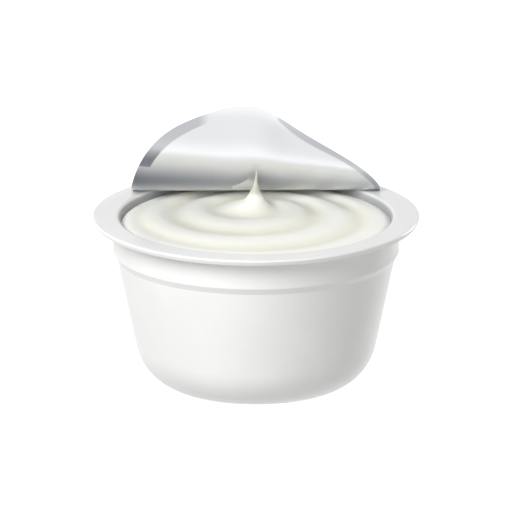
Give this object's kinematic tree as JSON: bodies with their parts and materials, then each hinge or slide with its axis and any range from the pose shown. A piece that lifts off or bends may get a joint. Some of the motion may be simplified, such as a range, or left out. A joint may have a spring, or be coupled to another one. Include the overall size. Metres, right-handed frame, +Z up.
{
  "type": "opened yogurt pot",
  "caption": "Round white yogurt pot, opened, with a swirled yogurt surface and peak, and a foil lid peeled from the front and rolled back.",
  "frame": {"origin": "centre of the pot's flat underside", "axes": "+Z up through the middle of the pot, -Y to the front where the lid was peeled from, +X to the right"},
  "size_m": [0.095, 0.095, 0.0762],
  "materials": {
    "pot_plastic": "white moulded polypropylene, satin to glossy",
    "yogurt": "smooth wet yogurt, soft sheen",
    "lid_foil": "satin rolled foil with a pressed seal band"
  },
  "bodies": {
    "root": {"pot": "pot_plastic", "yogurt": "yogurt", "foil_lid": "lid_foil"}
  },
  "joints": []
}
